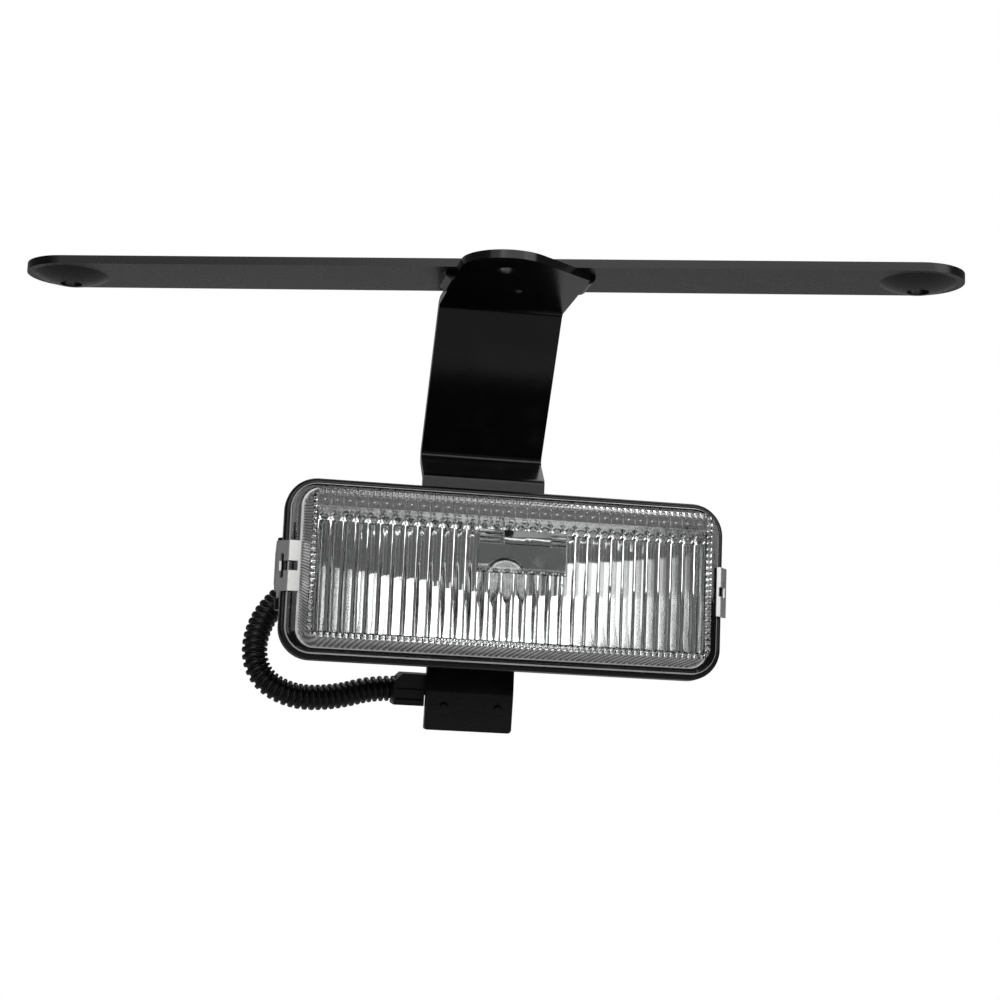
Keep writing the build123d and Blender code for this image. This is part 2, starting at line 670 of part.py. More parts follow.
# ---- lens clips: sprung strips, hinged on pins at the housing's sides and hooked over the lens ----
eye_radius = clip_pin / 2 + bore_gap + clip_thickness
hook_front_y = lens_front_y - part_gap - clip_thickness
eye_side = clip_pin_x + eye_radius
clip_waist_middle = (hook_front_y + clip_panel_depth + clip_pin_y - eye_radius) / 2
clip_waist_length = clip_pin_y - eye_radius - hook_front_y - clip_panel_depth
for side, hook_length, bend_inset, flare, label in (
    (-1, clip_hook_length, clip_bend_inset, clip_flare, "lens_clip_left"),
    (1, clip_short_hook, clip_short_inset, clip_short_flare, "lens_clip_right"),
):
    panel_front = Vector(rim_width / 2 - bend_inset, hook_front_y)
    panel_back = Vector(rim_width / 2 + flare, hook_front_y + clip_panel_depth)
    panel_run = panel_back - panel_front
    clip_base = Plane(
        origin=(lamp_x, 0, lamp_z - side * clip_height / 2), x_dir=(side, 0, 0), z_dir=(0, 0, side)
    )
    panel_plane = Plane(
        origin=(
            lamp_x + side * (panel_front.X + panel_back.X) / 2,
            (panel_front.Y + panel_back.Y) / 2,
            lamp_z,
        ),
        x_dir=(0, 0, 1),
        z_dir=(side * panel_run.Y, -panel_run.X, 0),
    )
    with BuildPart() as lens_clip:
        with BuildSketch(clip_base):
            with BuildLine():
                FilletPolyline(
                    (eye_side, clip_pin_y),
                    (eye_side, clip_pin_y - clip_eye_run),
                    (panel_back.X - clip_tail_lean, panel_back.Y + clip_panel_tail),
                    (panel_back.X, panel_back.Y),
                    (panel_front.X, panel_front.Y),
                    (panel_front.X - hook_length, panel_front.Y),
                    radius=clip_bend_radius,
                )
                offset(amount=clip_thickness, side=Side.RIGHT)
            make_face()
            with Locations((clip_pin_x, clip_pin_y)):
                Circle(eye_radius)
                Circle(clip_pin / 2 + bore_gap, mode=Mode.SUBTRACT)
        extrude(amount=clip_height)
        with BuildSketch(across(lamp_x)):
            for edge in (-1, 1):
                with Locations((clip_waist_middle, lamp_z + edge * clip_height / 2)):
                    SlotOverall(clip_waist_length, 2 * clip_waist)
        extrude(amount=side * rim_width, mode=Mode.SUBTRACT)
        with BuildSketch(panel_plane):
            SlotOverall(clip_slot_length, clip_slot_width)
        extrude(amount=2 * clip_thickness, both=True, mode=Mode.SUBTRACT)
        with BuildSketch(Plane.XZ.offset(clip_thickness - hook_front_y)):
            with Locations((
                lamp_x + side * (panel_front.X + (panel_run.X - hook_length + clip_hook_bar) / 2),
                lamp_z,
            )):
                Rectangle(panel_run.X + hook_length - clip_hook_bar, clip_window_height)
        extrude(amount=-(clip_panel_depth / 2 + 2 * clip_thickness), mode=Mode.SUBTRACT)
    save(lens_clip, label)

pin_half_length = clip_height / 2 + part_gap + clip_lug_thickness
with BuildPart() as clip_pins:
    with BuildSketch(Plane.XY.offset(lamp_z - pin_half_length)):
        with Locations((lamp_x - clip_pin_x, clip_pin_y), (lamp_x + clip_pin_x, clip_pin_y)):
            Circle(clip_pin / 2)
    extrude(amount=2 * pin_half_length)
save(clip_pins, "clip_pins")

# ---- grommet: rubber, buttoned through the housing's back, with a socket for the conduit ----
inner_flange = 1.8
collar_length = 6.0
socket_depth = 4.0
conduit_start_y = shell_back_y + collar_length - socket_depth
back_plane = Plane.XZ
with BuildPart() as cable_grommet:
    with BuildSketch(back_plane.offset(-(cavity_back_y - inner_flange))):
        with Locations((grommet_x, grommet_z)):
            Circle(grommet_collar / 2 - 1.0)
    extrude(amount=-inner_flange)
    with BuildSketch(back_plane.offset(-cavity_back_y)):
        with Locations((grommet_x, grommet_z)):
            Circle(grommet_neck / 2)
    extrude(amount=-shell_wall)
    with BuildSketch(back_plane.offset(-shell_back_y)):
        with Locations((grommet_x, grommet_z)):
            Circle(grommet_collar / 2)
    extrude(amount=-collar_length)
    fillet(cable_grommet.faces().sort_by(Axis.Y)[-1].edges(), 1.0)
    with BuildSketch(back_plane.offset(-conduit_start_y)):
        with Locations((grommet_x, grommet_z)):
            Circle(conduit_diameter / 2 + slip_gap)
    extrude(amount=-socket_depth, mode=Mode.SUBTRACT)
    with BuildSketch(back_plane.offset(-(cavity_back_y - inner_flange))):
        with Locations((grommet_x, grommet_z)):
            Circle(grommet_bore / 2)
    extrude(amount=-(conduit_start_y - cavity_back_y + inner_flange), mode=Mode.SUBTRACT)
save(cable_grommet, "cable_grommet")


def bend_radii(points):
    """Radius for each corner of a route: 0.45 of the shorter run over the tangent of half the turn."""
    radii = []
    for before, corner, after in zip(points, points[1:], points[2:]):
        run_in = Vector(*corner) - Vector(*before)
        run_out = Vector(*after) - Vector(*corner)
        half_turn = radians(run_in.get_angle(run_out)) / 2
        radii.append(0.45 * min(run_in.length, run_out.length) / tan(half_turn))
    return radii


# ---- lamp leads: feed and earth, from the bulb's base to the grommet ----
lead_y = base_back_y - lead_diameter / 2 - bore_gap
with BuildPart() as lamp_leads:
    for lead_side in (-1, 1):
        lead_z = lamp_z + lead_side * (lead_diameter / 2 + part_gap)
        exit_z = grommet_z + lead_side * (lead_diameter / 2 + part_gap)
        lead_route = [
            (lamp_x - base_can / 2, lead_y, lead_z),
            (lamp_x - base_can / 2 - 14.0, lead_y - 0.6, lead_z),
            (lamp_x - base_can / 2 - 30.0, lead_y - 6.0, lead_z + 0.8),
            (grommet_x + 12.0, cavity_back_y - 16.0, exit_z - 1.0),
            (grommet_x, cavity_back_y - 12.0, exit_z),
            (grommet_x, conduit_start_y, exit_z),
        ]
        with BuildLine() as lead_path:
            FilletPolyline(*lead_route, radius=bend_radii(lead_route))
        with BuildSketch(Plane(origin=lead_path.line @ 0, z_dir=lead_path.line % 0)):
            Circle(lead_diameter / 2)
        sweep(path=lead_path.line)
save(lamp_leads, "lamp_leads")

# ---- conduit: convoluted tube over the leads, from the grommet round to the connector ----
carrier_back = arm_thickness + carrier_thickness
backshell_right_x = foot_x - foot_width / 2
backshell_left_x = backshell_right_x - backshell_length
connector_middle = carrier_back + connector_depth / 2
conduit_end_x = backshell_left_x + socket_depth
conduit_end = tab_point(conduit_end_x, connector_middle, conduit_entry)
conduit_route = [
    (grommet_x, conduit_start_y, grommet_z),
    (grommet_x, 62.5, grommet_z),
    (-71.0, 68.5, -115.5),
    (-83.0, 66.0, -126.5),
    (-87.8, 63.5, -141.0),
    (-84.0, 63.5, -153.5),
    (-71.0, 65.0, -160.0),
    (-54.5, 67.5, -159.0),
    (conduit_end_x - 11.0, conduit_end.Y, conduit_end.Z),
    (conduit_end_x, conduit_end.Y, conduit_end.Z),
]
conduit_radii = bend_radii(conduit_route)
print("conduit bend radii", [round(radius, 1) for radius in conduit_radii])
with BuildPart() as conduit:
    with BuildLine() as conduit_path:
        FilletPolyline(*conduit_route, radius=conduit_radii)
    with BuildSketch(Plane(origin=conduit_path.line @ 0, z_dir=conduit_path.line % 0)):
        Circle(conduit_diameter / 2)
    sweep(path=conduit_path.line)
conduit_length = sum(edge.length for edge in conduit_path.edges())
conduit_section = pi * conduit_diameter ** 2 / 4
print("conduit length", round(conduit_length, 1))
print("conduit volume ratio", round(conduit.part.volume / (conduit_section * conduit_length), 4))
save(conduit, "conduit")

# ---- connector: rear cover that takes the conduit, and the socket behind the foot ----
cover_front = carrier_back - 0.8
cover_depth = carrier_back + connector_depth - cover_front
cover_middle = cover_front + cover_depth / 2
cover_chamfer = 3.0
rib_radius = 0.7
with BuildPart() as connector_backshell:
    with BuildSketch(across_tab(backshell_left_x)):
        with Locations((cover_middle, backshell_top - backshell_height / 2)):
            Rectangle(cover_depth, backshell_height)
    extrude(amount=backshell_length)
    left_face_edges = connector_backshell.faces().sort_by(Axis.X)[0].edges()
    chamfer(left_face_edges.sort_by(Axis.Z)[-1], cover_chamfer)
    for rib_height in (-0.4, -4.4):
        with BuildSketch(across_tab(backshell_left_x + 0.8)):
            with Locations((cover_front, rib_height)):
                Circle(rib_radius)
        extrude(amount=backshell_length - 1.6)
    with BuildSketch(across_tab(backshell_left_x)):
        with Locations((connector_middle, conduit_entry)):
            Circle(conduit_diameter / 2 + slip_gap)
    extrude(amount=socket_depth, mode=Mode.SUBTRACT)
    with BuildSketch(across_tab(backshell_left_x)):
        with Locations((connector_middle, conduit_entry)):
            Circle(grommet_bore / 2)
    extrude(amount=backshell_length, mode=Mode.SUBTRACT)
save(connector_backshell, "connector_backshell")

socket_right_x = backshell_right_x + connector_length
socket_height = backshell_top - connector_height / 2
mouth_depth = 15.0
mouth_width = connector_depth - 2 * connector_wall
mouth_height = connector_height - 2 * connector_wall
blade_length = mouth_depth - 5.5
blade_spacing = 5.0
blade_width = 2.8
blade_thickness = 0.8
seal_length = 3.0
latch_height = 1.4
with BuildPart() as connector_body:
    with BuildSketch(across_tab(backshell_right_x)):
        with Locations((connector_middle, socket_height)):
            Rectangle(connector_depth, connector_height)
    extrude(amount=connector_length)
    fillet(connector_body.edges().filter_by(Axis.X), 0.8)
    with BuildSketch(across_tab(socket_right_x - mouth_depth)):
        with Locations((connector_middle, socket_height)):
            Rectangle(mouth_width, mouth_height)
    extrude(amount=mouth_depth, mode=Mode.SUBTRACT)
    with BuildSketch(across_tab(backshell_right_x)):
        with Locations((connector_middle, socket_height)):
            Rectangle(mouth_width, mouth_height)
    extrude(amount=seal_length, mode=Mode.SUBTRACT)
    with BuildSketch(across_tab(backshell_right_x + seal_length)):
        with Locations(
            (connector_middle - blade_spacing / 2, socket_height),
            (connector_middle + blade_spacing / 2, socket_height),
        ):
            Rectangle(blade_width + 2 * slip_gap, blade_thickness + 2 * slip_gap)
    extrude(amount=connector_length - mouth_depth, mode=Mode.SUBTRACT)
    with BuildSketch(across_tab(socket_right_x - 9.0)):
        with BuildLine():
            latch_back = carrier_back + connector_depth
            Polyline(
                (latch_back, socket_height - 1.8),
                (latch_back + latch_height, socket_height - 1.8),
                (latch_back + latch_height, socket_height + 1.8),
                (latch_back, socket_height + 1.8),
                close=True,
            )
        make_face()
    extrude(amount=5.0)
save(connector_body, "connector_body")

with BuildPart() as connector_seal:
    with BuildSketch(across_tab(backshell_right_x)):
        with Locations((connector_middle, socket_height)):
            Rectangle(mouth_width, mouth_height)
        with Locations(
            (connector_middle - blade_spacing / 2, socket_height),
            (connector_middle + blade_spacing / 2, socket_height),
        ):
            Circle(lead_diameter / 2, mode=Mode.SUBTRACT)
    extrude(amount=seal_length)
save(connector_seal, "connector_seal")

with BuildPart() as connector_terminals:
    with BuildSketch(across_tab(backshell_right_x + seal_length)):
        with Locations(
            (connector_middle - blade_spacing / 2, socket_height),
            (connector_middle + blade_spacing / 2, socket_height),
        ):
            Rectangle(blade_width, blade_thickness)
    extrude(amount=connector_length - mouth_depth - seal_length + blade_length)
save(connector_terminals, "connector_terminals")

# ---- carrier: moulded plate behind the tab, with two spigots and a rail over the connector ----
carrier_half_width = 15.0
carrier_bottom = screw_height - 4.8
carrier_step = -0.8       # above this the plate stands clear of the foot's bend
carrier_relief = 1.4
rail_thickness = 2.0
with BuildPart() as connector_carrier:
    with BuildSketch(across_tab(foot_x - carrier_half_width)):
        with BuildLine():
            Polyline(
                (arm_thickness, carrier_bottom),
                (carrier_back, carrier_bottom),
                (carrier_back, backshell_top),
                (carrier_back + connector_depth, backshell_top),
                (carrier_back + connector_depth, backshell_top + rail_thickness),
                (arm_thickness + carrier_relief, backshell_top + rail_thickness),
                (arm_thickness + carrier_relief, carrier_step + carrier_relief),
                (arm_thickness, carrier_step),
                close=True,
            )
        make_face()
    extrude(amount=2 * carrier_half_width)
    with BuildSketch(tab_plane.offset(-arm_thickness)):
        with Locations(*spigot_places):
            Circle(spigot_hole / 2 - slip_gap)
    extrude(amount=arm_thickness)
    with BuildSketch(tab_plane.offset(-carrier_back)):
        with Locations(*spigot_places):
            Circle(screw_diameter / 2 + slip_gap)
    extrude(amount=carrier_back, mode=Mode.SUBTRACT)
save(connector_carrier, "connector_carrier")

screw_head_height = 2.2
screw_tip_proud = 1.0
with BuildPart() as carrier_screws:
    with BuildSketch(tab_plane.offset(-carrier_back)):
        with Locations(*spigot_places):
            Circle(screw_head / 2)
    extrude(amount=-screw_head_height)
    with BuildSketch(tab_plane.offset(-carrier_back)):
        with Locations(*spigot_places):
            Circle(screw_diameter / 2)
    extrude(amount=carrier_back + screw_tip_proud)
    chamfer(carrier_screws.faces().group_by(Axis.Y)[0].edges(), 0.8)
save(carrier_screws, "carrier_screws")
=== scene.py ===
import bpy
import bmesh
from math import cos, hypot, pi, radians, sin, sqrt
from mathutils import Matrix, Vector


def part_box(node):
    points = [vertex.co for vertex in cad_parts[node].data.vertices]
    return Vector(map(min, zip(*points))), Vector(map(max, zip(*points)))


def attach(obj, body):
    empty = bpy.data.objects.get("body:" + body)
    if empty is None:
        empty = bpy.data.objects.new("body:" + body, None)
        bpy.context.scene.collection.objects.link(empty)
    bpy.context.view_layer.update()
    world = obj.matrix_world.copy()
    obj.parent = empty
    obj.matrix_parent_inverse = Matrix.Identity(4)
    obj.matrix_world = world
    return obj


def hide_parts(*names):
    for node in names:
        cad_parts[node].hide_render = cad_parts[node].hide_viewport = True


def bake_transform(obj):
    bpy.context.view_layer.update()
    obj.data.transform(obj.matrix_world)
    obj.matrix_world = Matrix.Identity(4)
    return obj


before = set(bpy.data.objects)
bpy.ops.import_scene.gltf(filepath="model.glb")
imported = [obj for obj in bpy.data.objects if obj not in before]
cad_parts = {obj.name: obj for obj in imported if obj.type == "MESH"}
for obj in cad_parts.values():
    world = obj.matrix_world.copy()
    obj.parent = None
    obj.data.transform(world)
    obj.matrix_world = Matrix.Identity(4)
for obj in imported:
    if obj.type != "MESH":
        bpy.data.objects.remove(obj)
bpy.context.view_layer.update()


# ---- studio ----
# The lamp hangs over a matt sheet of paper that curves up behind it, and four soft boxes light it
# from the front, both sides and above. Paper and room look white to the camera only: a white room
# in every reflection would wash out the mirror behind the glass.
paper_floor_z = -0.36
paper_front_y = -0.85
paper_back_y = 1.3
paper_top_z = 2.4
paper_half_width = 1.3
paper_curve = 0.5
curve_steps = 12
paper_grey = (0.5, 0.5, 0.5, 1)
plain_white = (1, 1, 1, 1)
room_strength = 0.24


def white_to_camera(tree, lit, white, output):
    """Show the camera one shader, and light the lamp with the other."""
    path = tree.nodes.new("ShaderNodeLightPath")
    mix = tree.nodes.new("ShaderNodeMixShader")
    tree.links.new(path.outputs["Is Camera Ray"], mix.inputs["Fac"])
    tree.links.new(lit.outputs[0], mix.inputs[1])
    tree.links.new(white.outputs[0], mix.inputs[2])
    tree.links.new(mix.outputs[0], output.inputs["Surface"])


def paper_material():
    material = bpy.data.materials.new("studio_paper")
    material.use_nodes = True
    nodes = material.node_tree.nodes
    shader = nodes["Principled BSDF"]
    shader.inputs["Base Color"].default_value = paper_grey
    shader.inputs["Roughness"].default_value = 0.9
    white = nodes.new("ShaderNodeEmission")
    white.inputs["Color"].default_value = plain_white
    white_to_camera(material.node_tree, shader, white, nodes["Material Output"])
    return material


paper_line = [(paper_front_y, paper_floor_z)]
for step in range(curve_steps + 1):
    turn = radians(90 * step / curve_steps)
    paper_line.append((
        paper_back_y - paper_curve + paper_curve * sin(turn),
        paper_floor_z + paper_curve - paper_curve * cos(turn),
    ))
paper_line.append((paper_back_y, paper_top_z))
paper_mesh = bpy.data.meshes.new("paper_sweep")
paper_mesh.from_pydata(
    [(side * paper_half_width, y, z) for y, z in paper_line for side in (-1, 1)],
    [],
    [(2 * row, 2 * row + 1, 2 * row + 3, 2 * row + 2) for row in range(len(paper_line) - 1)],
)
for face in paper_mesh.polygons:
    face.use_smooth = True
paper_mesh.materials.append(paper_material())
paper = bpy.data.objects.new("paper_sweep", paper_mesh)
bpy.context.collection.objects.link(paper)

world = bpy.data.worlds.new("studio")
bpy.context.scene.world = world
world.use_nodes = True
room = world.node_tree.nodes["Background"]
room.inputs["Color"].default_value = paper_grey
room.inputs["Strength"].default_value = room_strength
bright_room = world.node_tree.nodes.new("ShaderNodeBackground")
bright_room.inputs["Color"].default_value = plain_white
white_to_camera(world.node_tree, room, bright_room, world.node_tree.nodes["World Output"])


def soft_box(name, place, target, size, watts):
    light = bpy.data.lights.new(name, "AREA")
    light.shape = "RECTANGLE"
    light.size, light.size_y = size
    light.energy = watts
    lamp = bpy.data.objects.new(name, light)
    lamp.location = place
    aim = Vector(target) - Vector(place)
    lamp.rotation_euler = aim.to_track_quat("-Z", "Y").to_euler()
    bpy.context.collection.objects.link(lamp)


soft_box("key_box", place=(0.09, -1.3, 0.5), target=(0, 0, -0.1), size=(1.6, 0.8), watts=9.5)
soft_box("left_panel", place=(-0.8, -1.2, 0.17), target=(0, 0, -0.1), size=(0.9, 0.75), watts=2.7)
soft_box("right_panel", place=(1.0, -0.95, 0.35), target=(0, 0, -0.1), size=(0.7, 0.6), watts=4.0)
soft_box("top_box", place=(0.1, 0.2, 1.2), target=(0, 0, -0.05), size=(1.2, 0.8), watts=10)
bpy.context.scene.view_settings.view_transform = "Standard"


# ---- camera ----
# It stands below the lamp and a little to its left, and looks up at it. Its angle of view is
# narrow, and it is rolled by a few degrees.
camera_data = bpy.data.cameras.new("studio_camera")
camera_data.sensor_width = 36
camera_data.lens = 75.87
camera = bpy.data.objects.new("studio_camera", camera_data)
camera_place = Vector((-0.1307, -0.7589, -0.2192))
looking = Vector((0.16348, 0.97209, 0.16826)).normalized()
nearly_upright = Vector((-0.06734, -0.15916, 0.98495))
sideways = looking.cross(nearly_upright).normalized()
upright = sideways.cross(looking).normalized()
turned = Matrix((sideways, upright, -looking)).transposed().to_4x4()
camera.matrix_world = Matrix.Translation(camera_place) @ turned
bpy.context.collection.objects.link(camera)
bpy.context.scene.camera = camera


# ---- cross strap ----
# A length of flat steel bar with rounded ends, pressed into a dish round each bolt hole. It is
# sprayed gloss black, a little duller than the arm, with light orange peel and edges that
# handling has rubbed.
def new_group(name, inputs, outputs):
    group = bpy.data.node_groups.new(name, "ShaderNodeTree")
    for label, kind, value in inputs:
        socket = group.interface.new_socket(label, in_out="INPUT", socket_type=kind)
        socket.default_value = value
    for label, kind in outputs:
        group.interface.new_socket(label, in_out="OUTPUT", socket_type=kind)
    given = group.nodes.new("NodeGroupInput").outputs
    result = group.nodes.new("NodeGroupOutput").inputs
    return group, given, result


def feed(tree, value, socket):
    """Link a socket to a socket, or set a plain value on it."""
    if isinstance(value, bpy.types.NodeSocket):
        tree.links.new(value, socket)
    else:
        socket.default_value = value


def noise(tree, place, scale, detail, roughness=0.5):
    texture = tree.nodes.new("ShaderNodeTexNoise")
    tree.links.new(place, texture.inputs["Vector"])
    feed(tree, scale, texture.inputs["Scale"])
    texture.inputs["Detail"].default_value = detail
    texture.inputs["Roughness"].default_value = roughness
    return texture.outputs["Fac"]


def on_object(tree):
    return tree.nodes.new("ShaderNodeTexCoord").outputs["Object"]


def stretched(tree, value, low, high, top=1.0):
    """Take low to high of a value to 0 to top."""
    remap = tree.nodes.new("ShaderNodeMapRange")
    tree.links.new(value, remap.inputs["Value"])
    remap.inputs["From Min"].default_value = low
    remap.inputs["From Max"].default_value = high
    feed(tree, top, remap.inputs["To Max"])
    return remap.outputs[0]


def calculated(tree, operation, *values):
    maths = tree.nodes.new("ShaderNodeMath")
    maths.operation = operation
    for value, socket in zip(values, maths.inputs):
        feed(tree, value, socket)
    return maths.outputs[0]


def blended(tree, share, first, second):
    mix = tree.nodes.new("ShaderNodeMix")
    mix.data_type = "RGBA"
    feed(tree, share, mix.inputs["Factor"])
    feed(tree, first, mix.inputs["A"])
    feed(tree, second, mix.inputs["B"])
    return mix.outputs["Result"]


def paint_effect():
    group, given, result = new_group(
        "sprayed_paint",
        [("Colour", "NodeSocketColor", (0.003, 0.003, 0.0033, 1)),
         ("Rub Colour", "NodeSocketColor", (0.05, 0.05, 0.05, 1)),
         ("Roughness", "NodeSocketFloat", 0.16),
         ("Peel Scale", "NodeSocketFloat", 900.0),
         ("Rub Amount", "NodeSocketFloat", 0.5)],
        [("Colour", "NodeSocketColor"),
         ("Roughness", "NodeSocketFloat"),
         ("Height", "NodeSocketFloat")],
    )
    place = on_object(group)
    rubs = noise(group, place, scale=75, detail=8, roughness=0.7)
    edge = group.nodes.new("ShaderNodeNewGeometry").outputs["Pointiness"]
    on_edges = stretched(group, edge, low=0.53, high=0.62)
    in_specks = stretched(group, rubs, low=0.5, high=0.72)
    both = calculated(group, "MULTIPLY", on_edges, in_specks)
    worn = calculated(group, "MULTIPLY", both, given["Rub Amount"])
    feed(group, blended(group, worn, given["Colour"], given["Rub Colour"]), result["Colour"])
    haze = calculated(group, "MULTIPLY_ADD", rubs, 0.03, given["Roughness"])
    feed(group, haze, result["Roughness"])
    feed(group, noise(group, place, given["Peel Scale"], detail=2), result["Height"])
    return group


def finish_from(name, effect, values, bump=0.0, depth=0.0003):
    """A material whose colour, roughness and relief come from a surface effect."""
    material = bpy.data.materials.new(name)
    material.use_nodes = True
    nodes, links = material.node_tree.nodes, material.node_tree.links
    shader = nodes["Principled BSDF"]
    source = nodes.new("ShaderNodeGroup")
    source.node_tree = effect
    for label, value in values.items():
        source.inputs[label].default_value = value
    for label, target in (("Colour", "Base Color"), ("Roughness", "Roughness")):
        if label in source.outputs:
            links.new(source.outputs[label], shader.inputs[target])
    if bump:
        relief = nodes.new("ShaderNodeBump")
        relief.inputs["Strength"].default_value = bump
        relief.inputs["Distance"].default_value = depth
        links.new(source.outputs["Height"], relief.inputs["Height"])
        links.new(relief.outputs["Normal"], shader.inputs["Normal"])
    return material, shader


def painted(name, roughness, rub_amount):
    values = {"Roughness": roughness, "Rub Amount": rub_amount}
    material, shader = finish_from(name, sprayed_paint, values, bump=0.05, depth=0.0004)
    shader.inputs["Specular IOR Level"].default_value = 0.3
    return material


def dress(material, *node_names):
    """Give one material to CAD pieces whose shape is right as it is."""
    for node_name in node_names:
        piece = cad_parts[node_name]
        piece.data.materials.clear()
        piece.data.materials.append(material)


sprayed_paint = paint_effect()
dress(painted("strap_paint", roughness=0.26, rub_amount=0.12), "cross_strap")


# ---- hanger arm, with its weld beads and the pivot sleeve ----
# The arm is sheared from steel plate and bent in three places. Its flange is welded under the
# strap and the sleeve to its foot, and the whole is sprayed gloss black after welding.
bracket_paint = painted("bracket_paint", roughness=0.17, rub_amount=0.12)
dress(bracket_paint, "hanger_arm", "weld_beads", "pivot_sleeve")


# ---- pivot bolt, washers and nut ----
# Bright zinc-plated steel, turned and rolled. The bolt goes through the sleeve at the arm's foot
# and the two ears of the housing, and the nut clamps the lamp at its tilt.
def metal_effect():
    group, given, result = new_group(
        "streaked_metal",
        [("Shade", "NodeSocketColor", (0.5, 0.5, 0.5, 1)),
         ("Tint", "NodeSocketColor", (0.6, 0.6, 0.6, 1)),
         ("Roughness", "NodeSocketFloat", 0.3),
         ("Spread", "NodeSocketFloat", 0.15),
         ("Streak Scale", "NodeSocketVector", (300, 300, 300))],
        [("Colour", "NodeSocketColor"),
         ("Roughness", "NodeSocketFloat"),
         ("Height", "NodeSocketFloat")],
    )
    drawn = group.nodes.new("ShaderNodeMapping")
    feed(group, on_object(group), drawn.inputs["Vector"])
    feed(group, given["Streak Scale"], drawn.inputs["Scale"])
    streak = noise(group, drawn.outputs[0], scale=1.0, detail=6)
    feed(group, blended(group, streak, given["Shade"], given["Tint"]), result["Colour"])
    rough = calculated(group, "MULTIPLY_ADD", streak, given["Spread"], given["Roughness"])
    feed(group, rough, result["Roughness"])
    feed(group, streak, result["Height"])
    return group


def toned(colour, share):
    return (*[part * share for part in colour], 1)


def metal(name, colour, roughness, scale=(300, 300, 300), scratch=0.08, bump=0.02, spread=0.15):
    values = {
        "Shade": toned(colour, 1 - scratch), "Tint": toned(colour, 1),
        "Roughness": roughness, "Spread": spread, "Streak Scale": scale,
    }
    material, shader = finish_from(name, streaked_metal, values, bump, depth=0.0002)
    shader.inputs["Metallic"].default_value = 1.0
    return material


streaked_metal = metal_effect()
zinc = metal(
    "zinc_plate", (0.80, 0.80, 0.79), roughness=0.36, scale=(900, 900, 150), scratch=0.15,
    bump=0.05, spread=0.2,
)
dress(zinc, "pivot_bolt", "pivot_washers", "pivot_nut")


# ---- conduit: corrugated tube from the lamp's grommet to the connector ----
# Blow-moulded black nylon, 10 mm across, with a rib every 2.5 mm and the two wires inside. It is
# pushed into the grommet and the rear cover, and loops down beside the lamp so that it can tilt.
conduit_route = [
    (-0.057, 0.051, -0.113),
    (-0.057, 0.0625, -0.113),
    (-0.071, 0.0685, -0.1155),
    (-0.083, 0.066, -0.1265),
    (-0.0878, 0.0635, -0.141),
    (-0.084, 0.0635, -0.1535),
    (-0.071, 0.065, -0.160),
    (-0.0545, 0.0675, -0.159),
    (-0.0385, 0.06959, -0.15398),
    (-0.0275, 0.06959, -0.15398),
]
conduit_radius = 0.005
conduit_root = 0.0039
conduit_sides = 32
rib_pitch = 0.0025
rib_profile = [       # share of a rib's pitch, and of its height
    (0.00, 0.0), (0.10, 0.0), (0.22, 0.85), (0.34, 1.0), (0.60, 1.0), (0.72, 0.85), (0.84, 0.0),
]


def line_through(route):
    """The smooth centreline of a route, as a list of points close together."""
    curve = bpy.data.curves.new("centreline", "CURVE")
    curve.dimensions = "3D"
    curve.resolution_u = 24
    spline = curve.splines.new("NURBS")
    spline.points.add(len(route) - 1)
    for point, place in zip(spline.points, route):
        point.co = (*place, 1)
    spline.order_u = 3
    spline.use_endpoint_u = True
    holder = bpy.data.objects.new("centreline", curve)
    mesh = bpy.data.meshes.new_from_object(holder)
    points = [vertex.co.copy() for vertex in mesh.vertices]
    bpy.data.objects.remove(holder)
    bpy.data.curves.remove(curve)
    bpy.data.meshes.remove(mesh)
    return points


def walk(points, stations):
    """Point and direction at each of these distances along a line."""
    result, index, passed = [], 0, 0.0
    for station in stations:
        step = points[index + 1] - points[index]
        while index < len(points) - 2 and passed + step.length < station:
            passed += step.length
            index += 1
            step = points[index + 1] - points[index]
        share = (station - passed) / step.length
        before = points[max(index - 1, 0)]
        after = points[min(index + 2, len(points) - 1)]
        ahead_here = (points[index + 1] - before).normalized() * (1 - share)
        ahead_next = (after - points[index]).normalized() * share
        result.append((points[index] + step * share, (ahead_next + ahead_here).normalized()))
    return result


def tube_along(name, points, stations, radii, sides):
    """Closed tube whose radius at each station is given."""
    places = walk(points, stations)
    across = places[0][1].orthogonal().normalized()
    verts, faces = [], []
    for (centre, ahead), radius in zip(places, radii):
        across = (across - ahead * across.dot(ahead)).normalized()
        other = ahead.cross(across)
        for side in range(sides):
            turn = 2 * pi * side / sides
            verts.append(centre + (across * cos(turn) + other * sin(turn)) * radius)
    for first in range(0, (len(places) - 1) * sides, sides):
        for side in range(sides):
            after = (side + 1) % sides
            faces.append((
                first + side, first + after, first + sides + after, first + sides + side,
            ))
    faces.append(tuple(reversed(range(sides))))
    faces.append(tuple((len(places) - 1) * sides + side for side in range(sides)))
    mesh = bpy.data.meshes.new(name)
    mesh.from_pydata(verts, [], faces)
    for face in mesh.polygons:
        face.use_smooth = len(face.vertices) == 4
    piece = bpy.data.objects.new(name, mesh)
    bpy.context.collection.objects.link(piece)
    return piece


